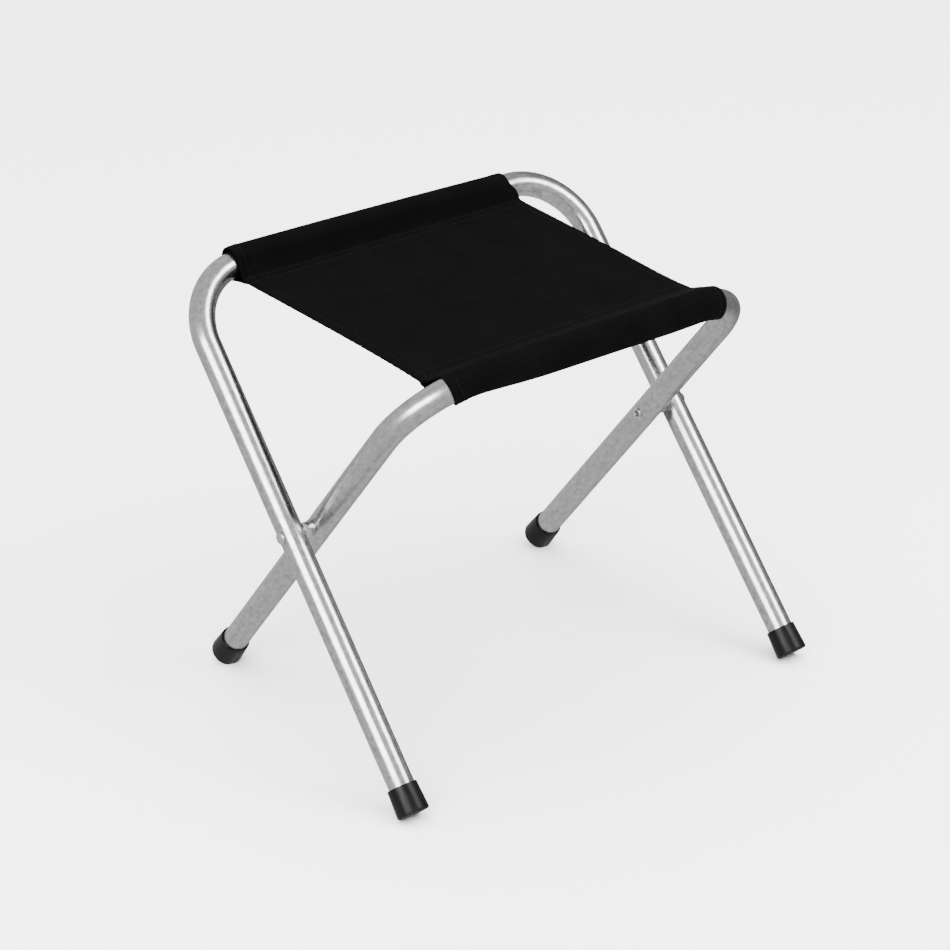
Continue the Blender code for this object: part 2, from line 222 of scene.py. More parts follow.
class TubeFrame:
    """Where one U-shaped frame's centre line runs."""

    def __init__(self, lean, half_width, splay, above, below, bend):
        self.lean = radians(lean)
        self.half_width = half_width
        self.above = above
        self.below = below
        self.bend = bend
        self.slope = splay / (above + below)
        self.turn = pi / 2 - atan(self.slope)
        self.straight = half_width - bend * tan(self.turn / 2)
        self.place = Matrix.Translation(PIVOT) @ Matrix.Rotation(-self.lean, 4, "X")
        self.up = np.array([0.0, sin(self.lean), cos(self.lean)])
        self.bar = PIVOT + self.above * self.up

    def leg_x(self, height):
        return self.half_width + self.slope * (self.above - height)

    def along(self, arc):
        """(x, height, angle turned) at a distance along the bar's centre line from its middle."""
        side = -1.0 if arc < 0 else 1.0
        angle = min(max(abs(arc) - self.straight, 0.0) / self.bend, self.turn)
        x = min(abs(arc), self.straight) + self.bend * sin(angle)
        return side * x, self.above - self.bend * (1.0 - cos(angle)), side * angle

    def stations(self):
        """(x, height, angle turned) from the left foot to the right one."""
        foot = -self.below + CAP_FLOOR + GAP
        knee = self.above - self.bend * (1.0 - cos(self.turn))
        near = np.arange(-0.017, 0.01701, 0.0005)       # close rings across the pressed flats
        heights = [*np.linspace(knee, 0.018, 30)[1:], *near[::-1], *np.linspace(-0.018, foot, 40)]
        right = [(self.leg_x(h), h, self.turn) for h in heights]
        left = [(-x, h, -angle) for x, h, angle in reversed(right)]
        bend = [self.straight + self.bend * self.turn * i / 44 for i in range(45)]
        bar = list(np.linspace(-self.straight, self.straight, 40)[1:-1])
        return left + [self.along(s) for s in [-s for s in reversed(bend)] + bar + bend] + right


OUTER = TubeFrame(**OUTER_SIZES)
INNER = TubeFrame(**INNER_SIZES)


def bump(distance):
    t = min(max((abs(distance) - DIMPLE_FLAT) / (DIMPLE_END - DIMPLE_FLAT), 0.0), 1.0)
    return 1.0 - t * t * (3.0 - 2.0 * t)


def soft_clamp(value, least, most, soft):
    """The value held between two limits, with rounded shoulders."""
    value = most - soft * np.logaddexp(0.0, (most - value) / soft)
    return least + soft * np.logaddexp(0.0, (value - least) / soft)


def tube(name, which, press_out, press_in):
    """A bent round tube with a wall, pressed flats at the hinge and a hole through each leg."""
    stations = which.stations()
    points = []
    for radius in (TUBE_RADIUS, TUBE_RADIUS - TUBE_WALL):
        wall = TUBE_RADIUS - radius
        for x, height, angle in stations:
            across = np.array([sin(angle), 0.0, cos(angle)])
            for step in range(TUBE_SIDES):
                turn = 2 * pi * step / TUBE_SIDES
                at = np.array([x, 0.0, height]) + radius * cos(turn) * across
                at[1] += radius * sin(turn)
                if abs(height) < DIMPLE_END:
                    side = -1.0 if x < 0 else 1.0
                    off = side * at[0] - abs(x)
                    most = TUBE_RADIUS - press_out * bump(height) - wall
                    least = -TUBE_RADIUS + press_in * bump(height) + wall
                    soft = 0.00001 + DIMPLE_SOFT * bump(height)
                    at[0] = side * (abs(x) + soft_clamp(off, least, most, soft))
                points.append(at)
    shell = len(stations) * TUBE_SIDES
    faces = []
    for start in (0, shell):
        for first in range(start, start + shell - TUBE_SIDES, TUBE_SIDES):
            faces += ring_faces(first, first + TUBE_SIDES, TUBE_SIDES)
    for first in (0, shell - TUBE_SIDES):
        faces += ring_faces(first, shell + first, TUBE_SIDES)
    made = add_mesh(name, [which.place @ Vector(p) for p in points], faces)
    drill_holes(made, which)
    crisp(made.data, 35.0)
    vector_attribute(made.data, "grain", tube_grain(made.data, which))
    return made


def tube_grain(mesh, which):
    """(outwards, off the frame's plane, along the tube) for every vertex."""
    to_local = which.place.inverted()
    local = np.array([to_local @ vertex.co for vertex in mesh.vertices])
    x, off_plane, height = np.abs(local[:, 0]), local[:, 1], local[:, 2]
    over = x - which.straight
    rise = height - (which.above - which.bend)
    knee = which.above - which.bend * (1.0 - cos(which.turn))
    angle = np.clip(np.arctan2(over, rise), 0.0, which.turn)
    on_bar = over <= 0.0
    on_bend = ~on_bar & (height > knee)
    on_leg = ~on_bar & ~on_bend
    outwards = np.where(on_bar, height - which.above, np.hypot(over, rise) - which.bend)
    outwards = np.where(on_leg, x - which.leg_x(height), outwards)
    along = np.where(on_bar, x, which.straight + which.bend * angle)
    along = np.where(on_leg, which.straight + which.bend * which.turn + knee - height, along)
    return np.stack([outwards, off_plane, np.sign(local[:, 0]) * along], axis=1)


def drill_holes(made, which):
    shape = bmesh.new()
    bmesh.ops.create_cone(
        shape, cap_ends=True, segments=40, radius1=RIVET_HOLE_RADIUS, radius2=RIVET_HOLE_RADIUS,
        depth=2.0 * (which.leg_x(0.0) + 0.03),
        matrix=Matrix.Translation(PIVOT) @ Matrix.Rotation(pi / 2, 4, "Y"),
    )
    mesh = bpy.data.meshes.new("drill")
    shape.to_mesh(mesh)
    shape.free()
    drill = add_object("drill", mesh)
    hole = made.modifiers.new("holes", "BOOLEAN")
    hole.operation = "DIFFERENCE"
    hole.solver = "EXACT"
    hole.object = drill
    bpy.context.view_layer.update()
    graph = bpy.context.evaluated_depsgraph_get()
    done = bpy.data.meshes.new_from_object(made.evaluated_get(graph))
    made.modifiers.clear()
    made.data = done
    bpy.data.objects.remove(drill, do_unlink=True)


def foot_cap(name, which, side):
    """A moulded cap: rounded top lip, slight taper, rounded and worn bottom edge."""
    socket = TUBE_RADIUS + GAP / 2
    profile = [(0.0, CAP_FLOOR), (socket, CAP_FLOOR), (socket, CAP_LENGTH)]
    profile += [(0.01098, CAP_LENGTH), (0.01104, CAP_LENGTH - 0.0022), (0.0119, 0.0), (0.0, 0.0)]
    profile = rounded(profile, 5, 0.0021, steps=7)
    profile = rounded(profile, 3, 0.0005)
    profile.insert(-1, (0.0045, 0.0))
    leg = Vector((-side * which.slope, 0.0, 1.0))
    tilt = Vector((0.0, 0.0, 1.0)).rotation_difference(leg).to_matrix().to_4x4()
    end = Vector((side * which.leg_x(-which.below), 0.0, -which.below))
    made = lathe(name, profile, 96, which.place @ Matrix.Translation(end) @ tilt)
    for vertex in made.data.vertices:
        vertex.co.z = max(vertex.co.z, 0.0)
    crisp(made.data, 38.0)
    return made


def on_hinge(side, x):
    """A place on the hinge line, at a distance from the middle, with local Z outwards."""
    return Matrix.Translation((side * x, PIVOT[1], PIVOT[2])) @ Matrix.Rotation(side * pi / 2, 4, "Y")


def rivet(name, side):
    """Domed head outside the outer leg, rolled hollow tail inside the inner leg."""
    outside = OUTER.leg_x(0.0) + TUBE_RADIUS - DIMPLE_OUTSIDE + GAP / 3
    inside = INNER.leg_x(0.0) - TUBE_RADIUS + DIMPLE_OUTSIDE - GAP / 3
    length = outside - inside
    wide, rise = RIVET_HEAD
    profile = [(wide * sin(a), length + RIVET_BRIM + rise * cos(a)) for a in np.linspace(0, pi / 2, 9)]
    profile += [(wide, length), (RIVET_RADIUS, length), (RIVET_RADIUS, 0.0)]
    centre, across, up = TAIL_ROLL
    profile += [(centre + across * cos(a), -0.0001 - up * sin(a)) for a in np.linspace(0.0, pi * 1.25, 14)]
    profile += [(RIVET_BORE, 0.0012), (RIVET_BORE, 0.0080), (0.0, 0.0088)]
    return lathe(name, profile, 48, on_hinge(side, inside))


def spacer(name, side):
    low = INNER.leg_x(0.0) + TUBE_RADIUS - DIMPLE_DEPTH + GAP / 3
    high = OUTER.leg_x(0.0) - TUBE_RADIUS + DIMPLE_DEPTH - GAP / 3
    deep = high - low
    hole = RIVET_RADIUS + 0.00015
    edge = 0.0005
    profile = [(hole, 0.0), (hole, deep), (SPACER_RADIUS - edge, deep)]
    profile += [(SPACER_RADIUS, deep - edge), (SPACER_RADIUS, edge), (SPACER_RADIUS - edge, 0.0), (hole, 0.0)]
    made = lathe(name, profile, 48, on_hinge(side, low))

    def close(shape):
        bmesh.ops.remove_doubles(shape, verts=shape.verts, dist=0.00001)
        face_outwards(shape)

    edit_mesh(made.data, close)
    crisp(made.data, 50.0)
    return made


# ---- the seat ----


def smoothstep(low, high, value):
    t = np.clip((np.asarray(value, float) - low) / (high - low), 0.0, 1.0)
    return t * t * (3.0 - 2.0 * t)


def crease_point():
    """The middle of the fold line, as (y, z)."""
    rear = OUTER.bar
    front = INNER.bar
    lean = (OUTER.lean + INNER.lean) / 2
    slope = (rear[2] - front[2]) / (rear[1] - front[1])
    height = (front[2] - PIVOT[2] + slope * (PIVOT[1] - front[1])) / (1.0 - slope * tan(lean))
    height -= PANEL_DROP + PANEL_SAG
    return np.array([PIVOT[1] + height * tan(lean), PIVOT[2] + height])


CREASE = crease_point()
BAR_SLOPE = (OUTER.bar[2] - INNER.bar[2]) / (OUTER.bar[1] - INNER.bar[1])


def resample(points, step):
    """The polyline at even steps no longer than `step`, ends kept."""
    points = np.asarray(points, float)
    lengths = np.linalg.norm(np.diff(points, axis=0), axis=1)
    far = np.concatenate([[0.0], np.cumsum(lengths)])
    count = max(2, int(round(far[-1] / step)) + 1)
    at = np.linspace(0.0, far[-1], count)
    return np.stack([np.interp(at, far, points[:, k]) for k in range(points.shape[1])], axis=1)


def normals_2d(points):
    """Unit normals of a polyline, a quarter turn anticlockwise from its direction."""
    run = np.gradient(points, axis=0)
    run /= np.linalg.norm(run, axis=1)[:, None]
    return np.stack([-run[:, 1], run[:, 0]], axis=1)


def arc_line(centre, along, aside, turns):
    """Points of an ellipse about a place on a frame's own axis."""
    return np.stack([centre + along * np.cos(turns), aside * np.sin(turns)], axis=1)


def gaussian(values, spread):
    """Smoothed along an evenly spaced list, ends held."""
    reach = int(3 * spread) + 1
    kernel = np.exp(-0.5 * (np.arange(-reach, reach + 1) / spread) ** 2)
    kernel /= kernel.sum()
    padded = np.pad(values, reach, mode="edge")
    return np.convolve(padded, kernel, mode="valid")


class Half:
    """One half of the seat cloth: its cross section at rest and folded, and the tables of its weights."""

    def __init__(self, which, other, side, top_ends, low_ends, seam, drop, joint):
        self.which = which
        self.other = other
        self.side = side                       # +1 for the rear half, whose bar is at +Y
        self.top_ends = top_ends
        self.low_ends = low_ends
        self.seam = seam
        self.drop = drop
        hinge = np.array(JOINTS[joint]["pos_m"], float)
        self.axis = which.up[1:]
        self.toward = side * np.array([-self.axis[1], self.axis[0]])
        self.hinge = self.to_plane(hinge[1:])
        self.line = -side * BAR_SLOPE          # rise of the line between the bars, going towards the panel
        self.section()
        self.weights()

    def to_plane(self, points):
        """(y, z) to (distance from the pivot along the frame, distance from the frame's plane)."""
        rel = np.asarray(points, float) - PIVOT[1:]
        return np.stack([rel @ self.axis, rel @ self.toward], axis=-1)

    def to_world(self, ab):
        """(towards the panel, up) from the bar's centre to (y, z)."""
        ab = np.asarray(ab, float)
        return np.stack([self.which.bar[1] - self.side * ab[..., 0], self.which.bar[2] + ab[..., 1]], axis=-1)

    def panel_height(self, a):
        """Height of the panel over the bar's centre at a distance towards the fold line."""
        share = np.clip((a - self.seam) / (self.reach - self.seam), 0.0, 1.0)
        drop = self.drop + (PANEL_DROP + PANEL_SAG - self.drop) * (1.0 - (1.0 - share) ** 2)
        return self.line * a - drop

    def panel_line(self, first, last, count):
        a = np.linspace(first, last, count)
        return np.stack([a, self.panel_height(a)], axis=1)

    def section(self):
        """The cross section at the middle of the bar, in (towards the panel, up) from its centre."""
        self.reach = self.side * (self.which.bar[1] - CREASE[0])
        panel = self.panel_line(self.seam, self.reach, 60)
        middle = np.arctan2(panel[0, 1], panel[0, 0])
        spread = np.arccos(SLEEVE_RADIUS / np.linalg.norm(panel[0]))
        turns = np.linspace(middle - spread, middle + spread - 2 * pi, 50)
        self.ring = np.stack([np.cos(turns), np.sin(turns)], axis=1)
        start = SLEEVE_RADIUS * self.ring[-1]
        line = resample(np.concatenate([[start], panel]), MAIN_STEP)
        for k in (0, 1):
            line[3:, k] = gaussian(line[:, k], 9.0)[3:]
        line[0] = start
        line[-1] = panel[-1]
        self.main = line                       # from the sleeve's upper side to the fold line
        flap = self.panel_line(self.seam, self.seam + FLAP, 12)
        down = -normals_2d(flap)               # the flap lies under the panel
        down *= np.sign(-down[:, 1])[:, None]
        under = np.concatenate([[SLEEVE_RADIUS * self.ring[0]], flap + down * LAYER])
        self.under = resample(under, UNDER_STEP)
        for k in (0, 1):
            self.under[2:-2, k] = gaussian(self.under[:, k], 2.5)[2:-2]

    def folded_main(self):
        """Where the main line lies when the stool is folded flat, from the fold line to the sleeve."""
        start = sqrt(np.sum((self.to_plane(CREASE) - self.hinge) ** 2))
        low = self.hinge[0] + sqrt(start ** 2 - self.hinge[1] ** 2)
        half, deep = 0.0050, 0.0060            # half width of the fold and how soon it gets there
        turn = np.linspace(0.0, pi / 2, 24)
        path = [np.stack([low + deep * (1 - np.cos(turn)), -half * np.sin(turn)], axis=1)]
        bar = self.which.above
        angle = np.arctan2(*self.offset_plane(self.main[0])[::-1])
        nested = self.other.above
        clear = SLEEVE_RADIUS + 0.0020
        aside = SLEEVE_RADIUS + 0.0042
        top, way = (nested - 0.026, -aside) if self.side > 0 else (bar - 0.0245, 0.0060)
        r = np.linspace(low + deep, top, 40)
        m = -half + (way + half) * smoothstep(r[0], r[-1], r)
        path.append(np.stack([r, m], axis=1)[1:])
        if self.side > 0:                      # the rear half passes behind the other bar
            path.append(np.array([[nested, -aside]]))
            path.append(arc_line(nested, clear, aside, np.linspace(-pi / 2, -0.10, 24))[1:])
            path.append(arc_line(bar, SLEEVE_RADIUS, SLEEVE_RADIUS, np.linspace(pi - 0.05, angle, 30)))
        else:
            away = np.array([top - bar, way])
            touch = np.arctan2(away[1], away[0]) - np.arccos(SLEEVE_RADIUS / np.linalg.norm(away))
            path.append(arc_line(bar, SLEEVE_RADIUS, SLEEVE_RADIUS, np.linspace(touch, angle, 20)))
        return resample(np.concatenate(path), MAIN_STEP)

    def folded_under(self, main):
        """The same for the underside of the sleeve and the flap, from the flap's end to the sleeve."""
        below = main - normals_2d(main) * LAYER
        flap_end = self.to_plane(self.to_world(self.under[-1]))
        seam = self.to_plane(self.to_world(self.main[self.seam_index()]))
        rho = np.linalg.norm(below - self.hinge, axis=1)
        first = int(np.argmax(rho > np.linalg.norm(flap_end - self.hinge) - 0.002))
        last = int(np.argmax(rho > np.linalg.norm(seam - self.hinge)))
        touch = np.array([self.which.above, 0.0]) + self.offset_plane(self.under[0])
        path = [below[first:last]]
        if self.side > 0:
            nested = self.other.above
            clear = SLEEVE_RADIUS + 0.0032
            arc = np.linspace(-pi / 2 + 0.2, -0.75, 12)
            path.append(arc_line(nested, clear, clear, arc))
        path.append(touch[None, :])
        return resample(np.concatenate(path), MAIN_STEP)

    def offset_plane(self, ab):
        """A (towards the panel, up) offset turned into the frame's plane axes."""
        world = np.array([-self.side * ab[0], ab[1]])
        return np.array([world @ self.axis, world @ self.toward])

    def seam_index(self):
        return int(np.argmin(np.abs(self.main[:, 0] - self.seam)))

    def share(self, rest, folded, offset, outward, gain):
        """The share of the strip's turn that carries each rest station onto the folded line."""
        at = rest + offset * outward * normals_2d(rest) - self.hinge
        to = folded + (offset * outward * gain)[:, None] * normals_2d(folded) - self.hinge
        far = np.linalg.norm(at, axis=1)
        aim_far = np.linalg.norm(to, axis=1)
        aim_far = np.maximum.accumulate(aim_far) + 1e-9 * np.arange(len(aim_far))
        aim = np.arctan2(to[:, 1], to[:, 0])
        grid = np.arange(aim_far[0], aim_far[-1], 0.0001)
        even = gaussian(np.interp(grid, aim_far, aim), 3.0)
        even[:12] = np.interp(grid[:12], aim_far, aim)
        target = np.interp(far, grid, even)
        return (np.arctan2(at[:, 1], at[:, 0]) - target) / FOLD_ANGLE

    def weights(self):
        """Tables of the share of the turn, by offset from the middle of the cloth and place along it."""
        self.offsets = np.linspace(-0.0026, 0.0014, 9)
        main = self.to_plane(self.to_world(self.main))[::-1]      # from the fold line to the sleeve
        folded = self.folded_main()
        from_fold = np.linalg.norm(folded - folded[0], axis=1)
        gain = 1.0 + 0.67 * (1.0 - smoothstep(0.0, 0.008, from_fold))
        self.main_table = []
        for offset in self.offsets:
            exact = self.share(main, folded, offset, 1.0, gain)[::-1]
            found = gaussian(exact, 3.0)
            found[-12:] = exact[-12:]
            ramp = smoothstep(0.0, 0.0025, np.arange(len(found)) * MAIN_STEP)
            self.main_table.append(np.clip(found, 0.0, 1.0) * ramp)
        under = self.to_plane(self.to_world(self.under))[::-1]
        lower = self.folded_under(folded)
        self.under_table = []
        for offset in self.offsets:
            found = self.share(under, lower, offset, -1.0, np.ones(len(lower)))[::-1]
            ramp = smoothstep(0.0, 0.003, np.arange(len(found)) * UNDER_STEP)
            self.under_table.append(np.clip(gaussian(found, 1.5), 0.0, 1.0) * ramp)
        self.main_table = np.array(self.main_table)
        self.under_table = np.array(self.under_table)


REAR = Half(OUTER, INNER, 1.0, REAR_TOP, REAR_LOW, REAR_SEAM, REAR_SEAM_DROP, "seat_drop_rear")
FRONT = Half(INNER, OUTER, -1.0, FRONT_TOP, FRONT_LOW, FRONT_SEAM, FRONT_SEAM_DROP, "seat_drop_front")


def columns(left, right):
    """Places across the cloth between two ends."""
    near = [left + d for d in EDGE_COLUMNS]
    far = [right - d for d in reversed(EDGE_COLUMNS)]
    middle = list(np.linspace(near[-1], far[0], INNER_COLUMNS + 2)[1:-1])
    return np.array(near + middle + far)


def edge_distance(at):
    """Distance of each place across from the nearer side edge."""
    return np.minimum(at - at[0], at[-1] - at)


def in_hem(edge):
    return 1.0 - smoothstep(HEM - HEM_SOFT, HEM + HEM_SOFT, edge)


def groove(distance):
    return np.exp(-(distance / GROOVE) ** 2)


def build_rows(half):
    """[(kind, index into that kind's line)] from the flap's end round the sleeve to the fold line."""
    under = [("under", float(i)) for i in range(len(half.under) - 1, 0, -2)]
    ring = [("ring", float(i)) for i in range(len(half.ring))]
    seam = half.seam_index()
    fine = list(range(2, seam + 30, 2))
    coarse = list(range(seam + 30, len(half.main) - 14, int(ROW_SPACING / MAIN_STEP)))
    last = [len(half.main) - 13, len(half.main) - 9, len(half.main) - 5, len(half.main) - 1]
    return under + ring + [("main", float(i)) for i in fine + coarse + last]


def wobble(seed, place, size, amount):
    """A smooth, repeatable wander of up to about `amount` along `place`, with waves of about `size`."""
    place = np.asarray(place, float)
    total = np.sin(2 * pi * place / size + seed) + 0.6 * np.sin(2 * pi * place / (size * 0.61) + 2.1 * seed)
    return amount * (total + 0.4 * np.sin(2 * pi * place / (size * 0.37) + 3.7 * seed)) / 2.0


def round_bar(half, across, ab):
    """World points at an (towards the panel, up) offset from the bent bar, in planes square to X."""
    which = half.which
    radial, off_plane = half.offset_plane(ab)
    over = np.maximum(np.abs(across) - which.straight, 0.0)
    height = which.above - which.bend + np.sqrt((which.bend + radial) ** 2 - over ** 2)
    toward = np.array([0.0, *half.toward])
    points = PIVOT + height[:, None] * which.up + off_plane * toward
    points[:, 0] = across
    return points


def mid_surface(half, rows):
    """Middle of the cloth, rows x columns x 3."""
    at_top = columns(*half.top_ends)
    at_low = columns(*half.low_ends)
    at_seam = at_low if half.side > 0 else columns(*FRONT_AT_SEAM)
    at_fold = columns(PANEL_LEFT, PANEL_RIGHT)
    part = (at_fold - at_fold[0]) / (at_fold[-1] - at_fold[0])
    if half.side > 0:
        loose = REAR_LOOSE * (1.0 - part ** 2)
        seam_lift = np.zeros(len(part))
    else:
        loose = FRONT_LOOSE * smoothstep(0.0, 0.35, part) * (1.0 - 0.35 * smoothstep(0.8, 1.0, part))
        seam_lift = -0.0010 + 0.0030 * part
    bar_line = round_bar(half, at_seam, np.zeros(2))
    fall = bar_line[:, 2] - half.which.bar[2]
    inward = -half.side * (bar_line[:, 1] - half.which.bar[1])
    hem = in_hem(edge_distance(at_fold))
    seam_row = half.seam_index()

    def on_sleeve(ab):
        if half.side > 0:
            share = smoothstep(-0.0045, 0.0090, ab[1])
            across = at_seam * (1.0 - share) + at_top * share
        else:
            share = min(max(0.5 + 0.5 * half.offset_plane(ab)[0] / SLEEVE_RADIUS, 0.0), 1.0)
            flare = smoothstep(-0.0010, 0.0120, ab[0])
            across = at_low * (1.0 - share) + at_top * share
            across = across * (1.0 - flare) + at_seam * flare
        points = round_bar(half, across, ab)
        if half.side > 0:
            points[:, 2] += loose * smoothstep(-0.0030, 0.0100, ab[1])
        else:
            points[:, 2] -= loose * smoothstep(0.0040, -0.0100, ab[1])
        return points

    grid = []
    for kind, index in rows:
        if kind == "ring":
            grid.append(on_sleeve(SLEEVE_RADIUS * half.ring[int(index)]))
            continue
        line = half.main if kind == "main" else half.under
        a, b = line[int(index)]
        if kind == "main":
            share = min(index / seam_row, 1.0)
            on = max(0.0, (index - seam_row) / (len(line) - 1 - seam_row))
        else:
            share = min(abs(a - line[0][0]) / abs(half.seam - line[0][0]), 1.0)
            on = max(0.0, (a - half.seam) / (half.reach - half.seam))
        keep = (1.0 - on) ** 2
        plain = np.empty((len(part), 3))
        plain[:, 0] = at_seam * (1.0 - on) + at_fold * on
        plain[:, 1] = half.which.bar[1] - half.side * a - half.side * np.minimum(inward, 0.010) * keep * 0.3
        plain[:, 2] = half.which.bar[2] + b + 0.35 * fall * keep + seam_lift * keep ** 2
        if kind == "under":
            plain[:, 2] -= 0.0008 * hem * share
            trim = FLAP_TRIM * smoothstep(0.0, 0.6, (a - half.seam) / FLAP)
            ends = np.exp(-(at_fold - at_fold[0]) / 0.008) - np.exp(-(at_fold[-1] - at_fold) / 0.008)
            plain[:, 0] += trim * ends
        mix = smoothstep(0.0, 1.0, share ** 0.75)
        grid.append(on_sleeve((a, b)) * (1.0 - mix) + plain * mix if share < 1.0 else plain)
    return np.array(grid), at_fold


def surface_normals(grid, half):
    """Unit normals that point away from the bar on the sleeve and up on the panel."""
    run_rows = np.gradient(grid, axis=0)
    run_columns = np.gradient(grid, axis=1)
    found = np.cross(run_columns, run_rows)
    found /= np.linalg.norm(found, axis=2)[:, :, None]
    return found * (1.0 if found[-1, grid.shape[1] // 2, 2] > 0 else -1.0)


def row_weight(half, kind, index, offset):
    """Share of the strip's turn at a place along the cloth and an offset from its middle."""
    if kind == "ring":
        return np.zeros_like(np.asarray(offset, float))
    table = half.main_table if kind == "main" else half.under_table
    steps = np.arange(table.shape[1])
    column = np.array([np.interp(index, steps, row) for row in table])
    return np.interp(offset, half.offsets, column)


def cloth_half(name, half):
    """The cloth as one closed sheet, with its blend weights and what the stitching needs of it."""
    rows = build_rows(half)
    grid, across = mid_surface(half, rows)
    total, count = grid.shape[:2]
    middle = count // 2
    edge = edge_distance(across)
    hem = in_hem(edge)
    dent = groove(edge - HEM_STITCH)
    rim = np.clip(np.sqrt(np.clip(edge / 0.00025, 0.0, 1.0)), 0.28, 1.0)
    seam = half.seam_index()
    steps = np.linalg.norm(np.diff(grid[:, middle], axis=0), axis=1)
    length = np.cumsum(np.concatenate([[0.0], steps]))
    # small scallops at the side edges, from the pull of the stitching
    fade = smoothstep(0.0, 0.010, length[-1] - length)
    left = wobble(1.3 + half.side, length, 0.0068, 0.00022) * fade
    right = wobble(4.1 + half.side, length, 0.0074, 0.00022) * fade
    for row in range(total):
        pull = np.exp(-edge / 0.0035) * (0.35 if rows[row][0] == "ring" else 1.0)
        grid[row, :middle, 0] += left[row] * pull[:middle]
        grid[row, middle:, 0] += right[row] * pull[middle:]
    normal = surface_normals(grid, half)
    sides, weights = ([], []), ([], [])
    for row, (kind, index) in enumerate(rows):
        part = smoothstep(seam * 0.35, seam * 0.8, index) if kind == "main" else 0.0
        lift = np.interp(part, (0.0, 1.0), HEM_LIFT) * hem
        depth = np.interp(part, (0.0, 1.0), HEM_DEPTH) * hem
        if kind == "under":
            lift, depth = 0.00010 * hem, 0.0
        ripple = seam_ripple(half, across, index, seam) if kind == "main" else 0.0
        out = (CLOTH / 2 + lift - 0.00012 * dent) * rim + ripple
        low = -(CLOTH / 2 + depth - 0.00010 * dent) * rim + 0.4 * ripple
        if row == 0:
            out, low = out * 0.4, low * 0.4
        for k, offset in enumerate((out, low)):
            sides[k].append(grid[row] + offset[:, None] * normal[row])
            weights[k].append(row_weight(half, kind, index, offset))
    size = total * count
    made = add_mesh(name, np.array(sides).reshape(-1, 3), sheet_faces(total, count), sharp=60.0)
    flat = np.stack([np.tile(across, total), np.repeat(length, count), np.zeros(size)], axis=1)
    vector_attribute(made.data, "grain", np.concatenate([flat, flat + np.array([0.0, 0.0, 1.0])]))
    return made, np.array(weights).ravel(), rows, grid, normal, across, length


def seam_ripple(half, across, index, seam):
    """Rise of the panel over the seam allowance: its step, the rows' dents and small puckers."""
    d = (index - seam) * MAIN_STEP
    dents = groove(d - SEAM_ROWS[0]) + groove(d - SEAM_ROWS[1])
    double = smoothstep(-0.0010, 0.0010, d) * (1.0 - smoothstep(FLAP - 0.0005, FLAP + 0.0010, d))
    loud = smoothstep(0.0, 0.012, (len(half.main) - 1 - index) * MAIN_STEP)
    waves = np.sin(2 * pi * across / 0.0112 + 1.7 * np.sin(across * 61.0))
    return -0.00012 * dents + 0.00016 * double + 0.00010 * waves * np.exp(-abs(d - 0.005) / 0.010) * loud


def sheet_faces(total, count):
    """Faces of a closed sheet: two grids of rows and columns, one after the other, and its four edges."""
    size = total * count
    faces = []
    for row in range(total - 1):
        for a in range(row * count, row * count + count - 1):
            faces.append((a, a + 1, a + count + 1, a + count))
            faces.append((size + a, size + a + count, size + a + count + 1, size + a + 1))
    for row in range(total - 1):
        for a in (row * count, row * count + count - 1):
            faces.append((a, a + count, size + a + count, size + a))
    for column in range(count - 1):
        for a in (column, (total - 1) * count + column):
            faces.append((a, a + 1, size + a + 1, size + a))
    return faces


def set_blend(made):
    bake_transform(made)


# ---- stitching ----


def stitch_shape():
    """One stitch as (along, across, up) rings: a short thread that dives into the cloth at both ends."""
    rings = []
    for t in np.linspace(-1.0, 1.0, 7):
        lift = THREAD_RADIUS * (0.55 - 1.9 * abs(t) ** 3)
        width = THREAD_RADIUS * (1.0 - 0.25 * abs(t))
        ring = []
        for step in range(6):
            angle = 2 * pi * step / 6
            ring.append((t * STITCH / 2, width * cos(angle), lift + width * 0.8 * sin(angle)))
        rings.append(ring)
    return rings


